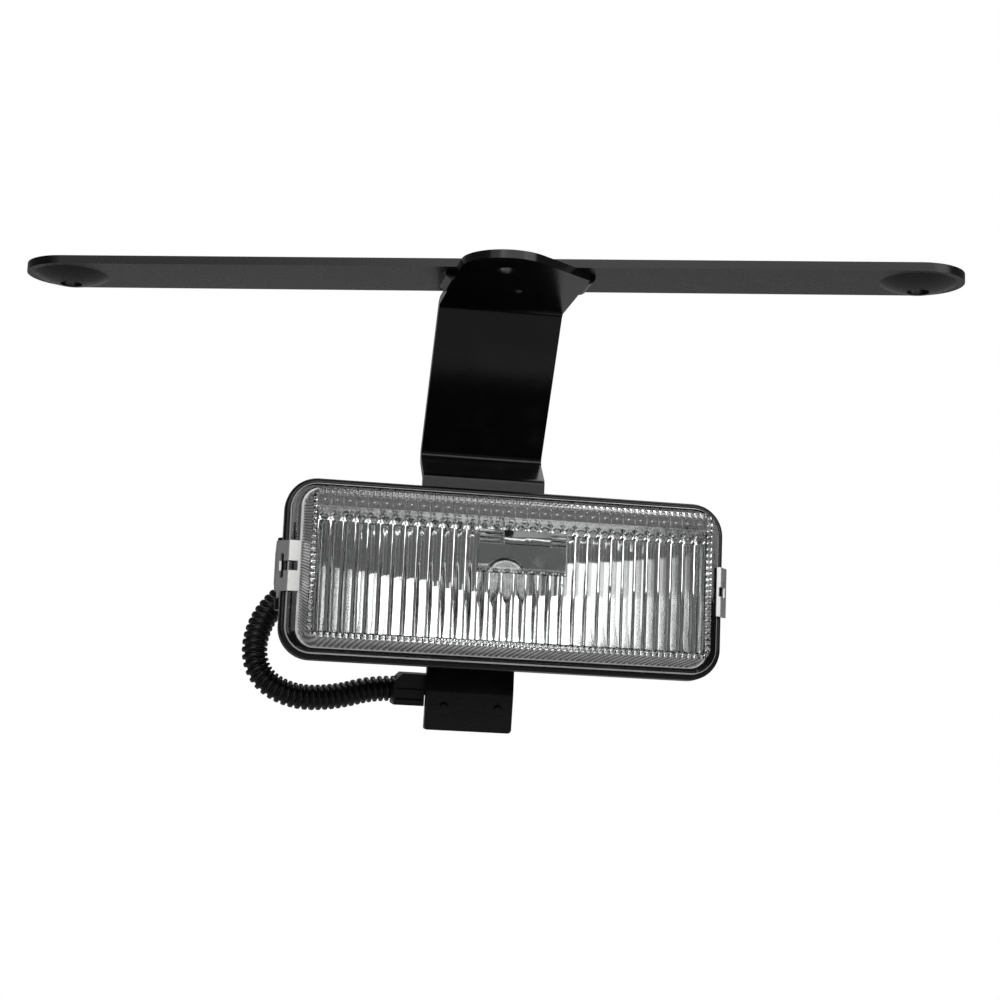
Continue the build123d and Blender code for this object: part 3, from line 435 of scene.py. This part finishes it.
def moulded_effect():
    group, given, result = new_group(
        "moulded_skin",
        [("Shade", "NodeSocketColor", (0.002, 0.002, 0.002, 1)),
         ("Tint", "NodeSocketColor", (0.004, 0.004, 0.004, 1)),
         ("Fleck Colour", "NodeSocketColor", (0.6, 0.6, 0.6, 1)),
         ("Fleck", "NodeSocketFloat", 0.0),
         ("Roughness", "NodeSocketFloat", 0.3),
         ("Grain Scale", "NodeSocketFloat", 1200.0)],
        [("Colour", "NodeSocketColor"),
         ("Roughness", "NodeSocketFloat"),
         ("Height", "NodeSocketFloat")],
    )
    place = on_object(group)
    dust = noise(group, place, scale=60, detail=6)
    specks = noise(group, place, scale=420, detail=3)
    # Pale flecks, where Fleck is set: old sealant, and painted glints in the glass over it.
    sealant_and_glints = stretched(group, specks, low=0.66, high=0.72, top=given["Fleck"])
    skin = blended(group, dust, given["Shade"], given["Tint"])
    feed(group, blended(group, sealant_and_glints, skin, given["Fleck Colour"]), result["Colour"])
    rough = calculated(group, "MULTIPLY_ADD", dust, 0.08, given["Roughness"])
    feed(group, rough, result["Roughness"])
    feed(group, noise(group, place, given["Grain Scale"], detail=4), result["Height"])
    return group


def moulded(name, colour, roughness, grain_scale, grain, fleck=0.0):
    values = {
        "Shade": toned(colour, 0.75), "Tint": toned(colour, 1.35), "Fleck": fleck,
        "Roughness": roughness, "Grain Scale": grain_scale,
    }
    material, shader = finish_from(name, moulded_skin, values, bump=grain, depth=0.0003)
    shader.inputs["Specular IOR Level"].default_value = 0.3
    return material


moulded_skin = moulded_effect()
conduit_line = line_through(conduit_route)
conduit_length = sum(
    (after - before).length for before, after in zip(conduit_line, conduit_line[1:])
)
rib_count = int(conduit_length / rib_pitch)
conduit_stations, conduit_radii = [], []
for rib in range(rib_count):
    for share, rise in rib_profile:
        conduit_stations.append((rib + share) * conduit_length / rib_count)
        conduit_radii.append(conduit_root + (conduit_radius - conduit_root) * rise)
conduit_stations.append(conduit_length)
conduit_radii.append(conduit_root)
conduit_tube = tube_along(
    "conduit_tube", conduit_line, conduit_stations, conduit_radii, conduit_sides
)
conduit_nylon = moulded(
    "conduit_nylon", (0.003, 0.003, 0.0033), roughness=0.26, grain_scale=1500, grain=0.08
)
conduit_tube.data.materials.append(conduit_nylon)
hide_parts("conduit")
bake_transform(conduit_tube)


# ---- housing ----
# A deep box with rounded corners and a rim round its mouth, injection-moulded in glossy black
# plastic. Two ears low on its back take the pivot bolt.
housing_plastic = moulded(
    "housing_plastic", (0.003, 0.003, 0.0033), roughness=0.2, grain_scale=900, grain=0.05
)
dress(housing_plastic, "housing")


# ---- lens gasket, cable grommet and connector seal ----
# Soft black rubber, moulded. The gasket lies in the rim under the glass, where old sealant shows
# as pale flecks, which also stand for painted glints in the glass over it. The grommet is pulled
# through the housing's back, and the seal into the plug.
soft_rubber = moulded(
    "soft_rubber", (0.006, 0.006, 0.006), roughness=0.55, grain_scale=1200, grain=0.15
)
dress(soft_rubber, "cable_grommet", "connector_seal")
sealant_glint_gasket = moulded(
    "sealant_glint_gasket", (0.012, 0.012, 0.012), roughness=0.5, grain_scale=1200, grain=0.15,
    fleck=1.0,
)
dress(sealant_glint_gasket, "lens_gasket")


# ---- connector: body, rear cover, carrier, terminals, screws and the lamp's two leads ----
# The body and its rear cover are glass-filled nylon, clipped together. The carrier slides over
# the arm's tab, and two blacked screws hold it. The blades are tinned brass, stamped and folded.
connector_nylon = moulded(
    "connector_nylon", (0.005, 0.005, 0.0055), roughness=0.34, grain_scale=1400, grain=0.12
)
dress(
    connector_nylon, "connector_backshell", "connector_body", "connector_carrier", "lamp_leads"
)
dress(painted("blacked_screw", roughness=0.3, rub_amount=0.3), "carrier_screws")
tinned_blade = metal("tinned_blade", (0.72, 0.68, 0.58), roughness=0.25, scale=(500, 100, 100))
dress(tinned_blade, "connector_terminals")


# ---- lens: pressed glass with its pattern inside ----
# Clear soda-lime glass about 3 mm thick. The plunger leaves 32 upright flutes with round tops, a
# plain window, rows of pads and prisms above them and teeth round the border, and the mould leaves
# slanted ribs on the wall. Its flange is bonded on the gasket and held by the two clips.
lens_low, lens_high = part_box("lens")
millimetre = 0.001                     # all the sizes below are in millimetres
lens_half_width = (lens_high.x - lens_low.x) / 2 / millimetre
lens_half_height = (lens_high.z - lens_low.z) / 2 / millimetre
lens_middle = (lens_low + lens_high) / 2
lens_back = lens_high.y / millimetre
lens_front = lens_low.y / millimetre
lens_corner = 10.0
corner_steps = 12

# The flange and the wall. Each inset is measured from the flange's edge.
flange_front = lens_back - 3.0
side_foot = 4.75                       # to the foot of the wall, at the sides
top_foot = 2.4                         # and above and below
side_extra = side_foot - top_foot
edge_round = 0.4
flange_profile = [                     # inset, and height over the flange's face
    (0.0, -2.8), (0.0, -1.3), (edge_round, -0.38), (1.1, 0.0), (1.7, 0.0), (1.85, 0.2),
    (2.0, 0.2), (top_foot, 0.5),
]
wall_steps = 11
wall_lean = 1.9
wall_height = 14.1
wall_rib = 0.35                        # depth of its slanted ribs
narrow_rib, wide_stripe = 4, 8            # pitch of the ribs, and of the wide stripes of painted highlight and shade, in steps
wide_rib_band = 6.0                    # from the lens's top and bottom, with wide painted stripes
face_edge_profile = [                  # inset, and depth behind the face
    (4.6, 0.6), (4.95, 0.2), (5.5, 0.0),
]
back_profile = [                       # inset, and depth inside the flange's back
    (0.2, 0.0), (1.6, 0.0), (3.4, 0.0), (3.7, 0.3), (3.85, 0.6), (4.3, 7.8), (4.75, 15.0),
]

# The flutes and the teeth round them.
field_margin = 6.7                     # flange's edge to the fluted field, above and below
field_half_width = lens_half_width - field_margin - side_extra
field_half_height = lens_half_height - field_margin
field_plane = lens_front + 3.0
tooth_profile = [                      # inset, and rise of the teeth there
    (4.9, 0.25), (5.2, 0.7), (5.6, 0.95), (6.0, 0.95), (6.35, 0.6),
]
tooth_foot = 0.15
weld_gap = 0.02                        # closes the seam between the field and its border
sharp_edge = radians(32)
flute_count = 32
flute_steps = 16                       # columns of mesh across each flute
tooth_steps = flute_steps / 2
flute_pitch = 2 * field_half_width / flute_count
flute_rise = 1.15
flute_top = field_half_height - 6.1
flute_bottom = -field_half_height
loop_radius, loop_half, loop_rise = 1.35, 0.5, 0.4
loop_drop = 1.7                        # the small arch lies this far below a flute's top

# The row of prisms above them, each with a dot, and posts between.
prism_bottom = flute_top + flute_pitch / 2
prism_top = field_half_height - 0.4
prism_slope = 0.55
dot_height = flute_top + 4.2
dot_radius, dot_rise = 0.6, 0.5
post_edge, post_rise = 0.42, 0.4

# The plain window, with a row of pads under it and a strip with bars over it.
window_left, window_right = -13.0, 19.6
window_bottom, window_top = 2.0, 11.2
window_floor = 0.35
pad_row, pad_half, pad_rise = 1.6, 0.95, 0.8
pad_wide, pad_flat = 0.8, 1.8          # squeeze a round pad into a low, wide one
strip_height, strip_floor = 5.0, 0.55
bar_pitch, bar_rise, bar_floor = 1.6, 0.35, 0.3
left_bars, right_bars = 9.0, 6.0       # how far the bars run in from the strip's ends

# The finishes of the lens's faces, as its material slots. Slot 0 is the clear glass. The others
# are opaque: pale ground glass that also paints a highlight at the flange's edge and the wall's
# foot, painted highlight and painted shade on the wall's rib flanks in turn, and painted shade on
# the prism row.
# Strips of faces are counted from the flange's edge towards the face.
ground_highlight_slot, painted_highlight_slot, painted_shade_slot, prism_shade_slot = 1, 2, 3, 4
ground_strips = (0, 1, 6)              # the flange's edge and the foot of the wall: pale ground glass, with a painted highlight
ribbed_strips = range(len(flange_profile) - 1, len(flange_profile) - 1 + wall_steps)


def dome(distance, half, rise):
    """Height of a round-backed ridge at this distance from its middle."""
    if distance >= half:
        return 0.0
    radius = (half ** 2 + rise ** 2) / (2 * rise)
    return sqrt(radius ** 2 - distance ** 2) - radius + rise


def field_relief(across, up):
    """Height of the pressed pattern inside the glass, over the flat field."""
    from_middle = ((across + field_half_width) / flute_pitch) % 1 - 0.5
    sideways_gap = from_middle * flute_pitch
    if window_left < across < window_right:
        if window_bottom < up < window_top:
            return window_floor
        if window_bottom - pad_row < up <= window_bottom:
            upward_gap = up - window_bottom + pad_row / 2
            distance = hypot(sideways_gap * pad_wide, upward_gap * pad_flat)
            return bar_floor + dome(distance, pad_half, pad_rise)
        if window_top <= up < window_top + strip_height:
            if window_left + left_bars <= across <= window_right - right_bars:
                return strip_floor
            return bar_floor + bar_rise * abs(sin(pi * (up - window_top) / bar_pitch))
    if up > prism_bottom:
        dot = dome(hypot(sideways_gap, up - dot_height), dot_radius, dot_rise)
        post = post_rise if abs(from_middle) > post_edge else 0.0
        return prism_slope * (up - prism_bottom) + max(dot, post)
    beyond = max(up - flute_top, flute_bottom - up, 0.0)
    flute = dome(hypot(sideways_gap, beyond), flute_pitch / 2, flute_rise)
    loop_gap = abs(hypot(sideways_gap, up - flute_top + loop_drop) - loop_radius)
    return flute + dome(loop_gap, loop_half, loop_rise)


def between(start, end, share):
    return start[0] + (end[0] - start[0]) * share, start[1] + (end[1] - start[1]) * share


def border_loop(inset, count_across, count_up):
    """Places round a rounded rectangle this far inside the flange's edge, from lower left."""
    radius = lens_corner * max(1 - inset / field_margin, 0.0)
    into_foot = min(max((inset - edge_round) / (top_foot - edge_round), 0.0), 1.0)
    half_width = lens_half_width - inset - side_extra * into_foot
    half_height = lens_half_height - inset
    corners = [(-1, -1, 180), (1, -1, 270), (1, 1, 0), (-1, 1, 90)]

    def on_corner(corner, degrees_on):
        side, level, start = corner
        turn = radians(start + degrees_on)
        return (
            side * (half_width - radius) + radius * cos(turn),
            level * (half_height - radius) + radius * sin(turn),
        )

    loop = []
    for number, corner in enumerate(corners):
        for step in range(corner_steps):
            loop.append(on_corner(corner, 90 * step / corner_steps))
        begin = on_corner(corner, 90)
        finish = on_corner(corners[(number + 1) % 4], 0)
        steps = count_across if number % 2 == 0 else count_up
        loop += [between(begin, finish, step / steps) for step in range(steps)]
    return loop


def build_lens():
    columns = flute_count * flute_steps
    rows = round(2 * field_half_height / (flute_pitch / flute_steps))
    mesh = bmesh.new()

    def point(across, depth, up):
        return mesh.verts.new((
            lens_middle.x + across * millimetre,
            depth * millimetre,
            lens_middle.z + up * millimetre,
        ))

    def ring(inset, depth, tooth_rise=0.0, rib_row=None):
        loop = border_loop(inset, columns, rows)
        if rib_row is not None:
            inner_loop = border_loop(inset + wall_rib, columns, rows)
            for number, place in enumerate(inner_loop):
                share = 1 - abs(2 * ((number + rib_row) / narrow_rib % 1) - 1)
                loop[number] = between(loop[number], place, share)
        return [
            point(across, depth + tooth_rise * abs(sin(pi * number / tooth_steps)), up)
            for number, (across, up) in enumerate(loop)
        ]

    front = [ring(inset, flange_front - rise) for inset, rise in flange_profile]
    wall_foot = flange_front - flange_profile[-1][1]
    for step in range(1, wall_steps + 1):
        share = step / wall_steps
        inset = top_foot + wall_lean * share
        front.append(ring(inset, wall_foot - wall_height * share, rib_row=-step))
    front += [ring(inset, lens_front + behind) for inset, behind in face_edge_profile]
    back = [ring(inset, lens_back - inside) for inset, inside in back_profile]
    for inset, tooth_rise in tooth_profile:
        back.append(ring(inset, field_plane + tooth_foot, tooth_rise))
    back.append(ring(field_margin, field_plane))

    loops = list(reversed(front)) + back
    for strip, (outer, inner) in enumerate(zip(loops, loops[1:])):
        from_edge = len(front) - 2 - strip
        for number in range(len(outer)):
            after = (number + 1) % len(outer)
            face = mesh.faces.new((outer[number], outer[after], inner[after], inner[number]))
            # The flange's edge and the wall's foot are pale ground glass, which also paints the
            # highlight that they catch.
            if from_edge in ground_strips:
                face.material_index = ground_highlight_slot
            # Alternate rib flanks are painted highlight and painted shade, in wider stripes near
            # the top and bottom.
            elif from_edge in ribbed_strips:
                height = abs(outer[number].co.z - lens_middle.z)
                wide = height > (lens_half_height - wide_rib_band) * millimetre
                period = wide_stripe if wide else narrow_rib
                bright = (number + strip) % period < period // 2
                face.material_index = painted_highlight_slot if bright else painted_shade_slot
    mesh.faces.new(list(reversed(loops[0])))

    grid = []
    for row in range(rows + 1):
        up = -field_half_height + 2 * field_half_height * row / rows
        line = []
        for column in range(columns + 1):
            across = -field_half_width + 2 * field_half_width * column / columns
            on_border = row in (0, rows) or column in (0, columns)
            height = 0.0 if on_border else field_relief(across, up)
            line.append(point(across, field_plane + height, up))
        grid.append(line)
    for row in range(rows):
        up = -field_half_height + 2 * field_half_height * (row + 0.5) / rows
        below, above = grid[row], grid[row + 1]
        for column in range(columns):
            face = mesh.faces.new((
                below[column], below[column + 1], above[column + 1], above[column],
            ))
            from_middle = abs((column + 0.5) / flute_steps % 1 - 0.5)
            on_dot = hypot(from_middle * flute_pitch, up - dot_height) < dot_radius
            # The prisms' faces, but not their dots, are painted dark as shade.
            if from_middle < post_edge and prism_bottom < up < prism_top and not on_dot:
                face.material_index = prism_shade_slot
    seam = back[-1] + grid[0] + grid[-1] + [end for line in grid for end in (line[0], line[-1])]
    bmesh.ops.remove_doubles(mesh, verts=list(dict.fromkeys(seam)), dist=weld_gap * millimetre)
    bmesh.ops.recalc_face_normals(mesh, faces=mesh.faces)
    data = bpy.data.meshes.new("lens_glass")
    mesh.to_mesh(data)
    mesh.free()
    data.set_sharp_from_angle(angle=sharp_edge)
    for face in data.polygons:
        face.use_smooth = len(face.vertices) == 4
    piece = bpy.data.objects.new("lens_glass", data)
    bpy.context.collection.objects.link(piece)
    return piece


def clear_effect():
    group, given, result = new_group(
        "glass_flow_and_film",
        [("Flow Scale", "NodeSocketFloat", 45.0),
         ("Film Scale", "NodeSocketFloat", 220.0)],
        [("Roughness", "NodeSocketFloat"),
         ("Height", "NodeSocketFloat")],
    )
    place = on_object(group)
    feed(group, noise(group, place, given["Flow Scale"], detail=3), result["Height"])
    dust = noise(group, place, given["Film Scale"], detail=5)
    feed(group, stretched(group, dust, low=0.55, high=0.8, top=0.12), result["Roughness"])
    return group


# Colour for the opaque lens faces, which paint highlight and shade in place of the glass: a grey
# with a faint random cloud.
def painted_light_effect():
    group, given, result = new_group(
        "painted_light_cloud",
        [("Shade", "NodeSocketColor", (0.5, 0.5, 0.5, 1)),
         ("Tint", "NodeSocketColor", (0.9, 0.9, 0.9, 1)),
         ("Roughness", "NodeSocketFloat", 0.3)],
        [("Colour", "NodeSocketColor"),
         ("Roughness", "NodeSocketFloat")],
    )
    cloud = noise(group, on_object(group), scale=160, detail=5)
    feed(group, blended(group, cloud, given["Shade"], given["Tint"]), result["Colour"])
    rough = calculated(group, "MULTIPLY_ADD", cloud, 0.1, given["Roughness"])
    feed(group, rough, result["Roughness"])
    return group


def clear_glass(name, waviness):
    material, shader = finish_from(name, glass_flow_and_film, {}, bump=waviness, depth=0.001)
    shader.inputs["Base Color"].default_value = (0.98, 0.99, 0.99, 1)
    shader.inputs["Transmission Weight"].default_value = 1.0
    shader.inputs["IOR"].default_value = 1.51
    return material


def painted_light_glass(name, grey, roughness, silver=0.0):
    colour = (grey, grey, grey)
    values = {
        "Shade": toned(colour, 0.7), "Tint": toned(colour, 1.3), "Roughness": roughness,
    }
    material, shader = finish_from(name, painted_light_cloud, values)
    shader.inputs["Metallic"].default_value = silver
    return material


glass_flow_and_film = clear_effect()
painted_light_cloud = painted_light_effect()
lens_glass = build_lens()
# Slot 0 is clear glass; the next four paint the light: ground glass with its highlight, rib
# highlight, rib shade and prism shade.
for finish in (
    clear_glass("pressed_glass_clear", waviness=0.06),
    painted_light_glass("ground_edge_painted_highlight", grey=0.85, roughness=0.4),
    painted_light_glass("rib_painted_highlight", grey=0.8, roughness=0.3, silver=0.7),
    painted_light_glass("rib_painted_shade", grey=0.2, roughness=0.15),
    painted_light_glass("prism_row_painted_shade", grey=0.035, roughness=0.1),
):
    lens_glass.data.materials.append(finish)
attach(lens_glass, "lamp")
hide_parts("lens")


# ---- reflector ----
# A pressed steel bowl, lacquered smooth and coated with aluminium in a vacuum. It sits in the
# housing behind the glass and carries the bulb at its middle.
aluminised_bowl = metal(
    "aluminised_bowl", (0.86, 0.86, 0.86), roughness=0.02, scale=(60, 60, 60), scratch=0.05,
    bump=0.01, spread=0.03,
)
dress(aluminised_bowl, "reflector")


# ---- bulb: shield, glass, filament, base and its spring bail ----
# A halogen bulb: a quartz envelope with a tungsten coil, on a nickel-plated base. The shield is a
# plated cap in front of it, and a hooked wire bail presses the base into the reflector.
plated_shield = metal("plated_shield", (0.4, 0.4, 0.4), roughness=0.2, scale=(200, 200, 200))
tungsten_wire = metal("tungsten_wire", (0.35, 0.35, 0.36), roughness=0.35)
nickel_base = metal("nickel_base", (0.68, 0.66, 0.6), roughness=0.22, scale=(400, 400, 900))
dress(plated_shield, "bulb_shield")
dress(clear_glass("quartz", waviness=0.02), "bulb_glass")
dress(tungsten_wire, "bulb_filament")
dress(nickel_base, "bulb_base")
dress(zinc, "bulb_bail")


# ---- lens clips and the pins that they turn on ----
# Zinc-plated spring steel strip, stamped with a slot and bent into a hook that holds the flange
# of the glass. Each clip turns on a steel pin in the side of the housing.
dress(zinc, "lens_clip_left", "lens_clip_right", "clip_pins")
